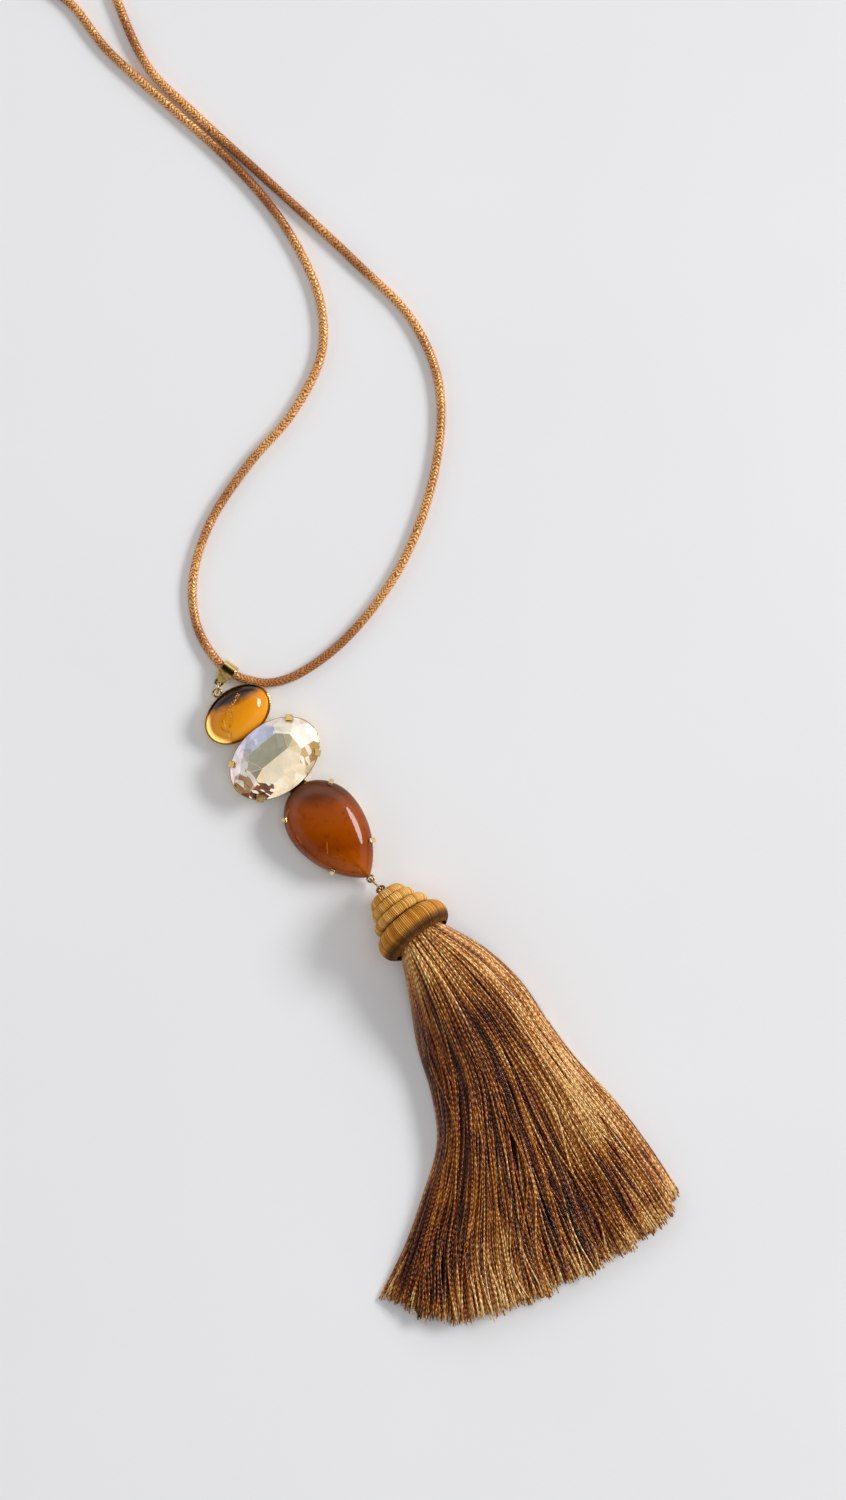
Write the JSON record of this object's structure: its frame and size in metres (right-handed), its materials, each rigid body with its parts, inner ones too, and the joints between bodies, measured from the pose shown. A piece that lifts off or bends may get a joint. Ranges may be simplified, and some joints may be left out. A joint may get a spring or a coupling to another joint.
{
  "type": "tassel necklace",
  "caption": "Long satin cord necklace with an amber oval, a pale faceted crystal and a brown pear drop over a wound gold cap and silk tassel, laid flat",
  "frame": {"origin": "middle of the crystal, on the flat back of its setting, which rests on the surface", "axes": "+Y runs up the pendant from the fringe to the bail, +Z out of the stones, +X to the right as the stones are seen"},
  "size_m": [0.1631, 0.4085, 0.0197],
  "materials": {
    "satin_cord": "satin",
    "gold_metal": "polished gold plate",
    "amber_stone": "polished",
    "champagne_crystal": "polished facets",
    "brown_stone": "polished",
    "cap_thread": "silky wound thread",
    "rim_thread": "silky wound thread",
    "silk_fringe": "silky"
  },
  "bodies": {
    "root": {"cord": "satin_cord", "clasp": "gold_metal", "bail": "gold_metal", "bail_ring": "gold_metal", "pendant_frame": "gold_metal", "oval_cabochon": "amber_stone", "crystal": "champagne_crystal", "pear_cabochon": "brown_stone", "tassel_link": "gold_metal", "cap_ring_top": "cap_thread", "cap_ring_upper": "cap_thread", "cap_ring_lower": "cap_thread", "cap_ring_rim": "rim_thread", "tassel_fringe": "silk_fringe"}
  },
  "joints": []
}
